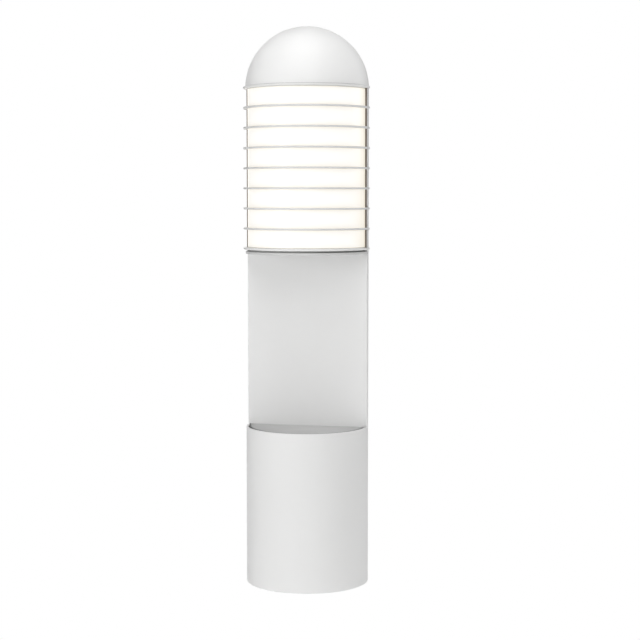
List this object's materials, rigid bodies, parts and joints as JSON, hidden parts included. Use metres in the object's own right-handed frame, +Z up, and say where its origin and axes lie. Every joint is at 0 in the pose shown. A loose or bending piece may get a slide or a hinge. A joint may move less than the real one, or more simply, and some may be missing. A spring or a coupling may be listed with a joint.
{
  "type": "bollard light",
  "caption": "Round louvred bollard light: full round base, cut-away front with a flat face panel, glowing half-round head under a dome, on a bolt-down anchor.",
  "frame": {"origin": "centre of the anchor bolt circle, on the ground", "axes": "+Z up along the tube, -Y out of the open face and louvres, +X to the right of somebody facing the louvres"},
  "size_m": [0.1284, 0.1262, 0.5612],
  "materials": {
    "bare_aluminium": "mill finish",
    "black_plastic": "moulded",
    "black_rubber": "matt, moulded",
    "black_steel": "black oxide",
    "brass": "turned",
    "brown_trim": "matt dark brown extrusion",
    "cast_aluminium": "as cast",
    "green_board": "green solder mask",
    "grey_rubber": "matt grey closed-cell gasket",
    "lead_jacket": "satin sheath",
    "led_phosphor": "phosphor",
    "opal_diffuser": "opal acrylic, lit from inside",
    "white_board": "white solder mask",
    "white_paint": "fine textured white powder coat",
    "white_plastic": "moulded",
    "white_silicone": "translucent white silicone",
    "zinc_steel": "zinc plated"
  },
  "bodies": {
    "anchor": {"anchor_base": "cast_aluminium"},
    "housing": {"board_jumpers": "lead_jacket", "board_screws": "zinc_steel", "bottom_plate": "white_paint", "carrier_grommet": "black_rubber", "carrier_screws": "zinc_steel", "deck_nuts": "zinc_steel", "deck_plate": "white_paint", "deck_screws": "zinc_steel", "diffuser": "opal_diffuser", "diffuser_seal_bottom": "white_silicone", "diffuser_seal_top": "white_silicone", "dome_cap": "white_paint", "dome_gasket": "grey_rubber", "driver_board": "green_board", "driver_bracket": "zinc_steel", "driver_cap_bottom": "black_plastic", "driver_cap_top": "black_plastic", "driver_case": "bare_aluminium", "driver_nuts": "zinc_steel", "driver_screws": "zinc_steel", "earth_screw": "brass", "earth_washer": "brass", "edge_trim_left": "brown_trim", "edge_trim_right": "brown_trim", "face_panel": "white_paint", "head_gasket": "grey_rubber", "housing_tube": "white_paint", "lead_connector": "white_plastic", "lead_grommet": "black_rubber", "led_board_1": "white_board", "led_board_2": "white_board", "led_board_3": "white_board", "led_carrier": "bare_aluminium", "led_lead": "lead_jacket", "led_packages": "led_phosphor", "louvre_ring_1": "white_paint", "louvre_ring_2": "white_paint", "louvre_ring_3": "white_paint", "louvre_ring_4": "white_paint", "louvre_ring_5": "white_paint", "louvre_ring_6": "white_paint", "louvre_ring_7": "white_paint", "panel_nuts": "zinc_steel", "soffit_plate": "white_paint", "supply_lead": "lead_jacket", "terminal_block": "white_plastic", "terminal_bracket": "zinc_steel", "terminal_screws": "brass", "tie_rod_nuts": "zinc_steel", "tie_rod_washers": "zinc_steel", "tie_rods": "zinc_steel", "top_plate": "white_paint"},
    "set_screw_left": {"set_screw_left": "black_steel"},
    "set_screw_rear": {"set_screw_rear": "black_steel"},
    "set_screw_right": {"set_screw_right": "black_steel"}
  },
  "joints": [
    {"name": "housing_lift", "type": "slide", "parent": "anchor", "child": "housing", "axis": [0, 0, 1], "range_m": [0, 0.06]},
    {"name": "set_screw_left_travel", "type": "slide", "parent": "housing", "child": "set_screw_left", "axis": [-0.866, 0.5, 0], "range_m": [0, 0.002]},
    {"name": "set_screw_rear_travel", "type": "slide", "parent": "housing", "child": "set_screw_rear", "axis": [0, 1, 0], "range_m": [0, 0.002]},
    {"name": "set_screw_right_travel", "type": "slide", "parent": "housing", "child": "set_screw_right", "axis": [0.866, 0.5, 0], "range_m": [0, 0.002]}
  ]
}
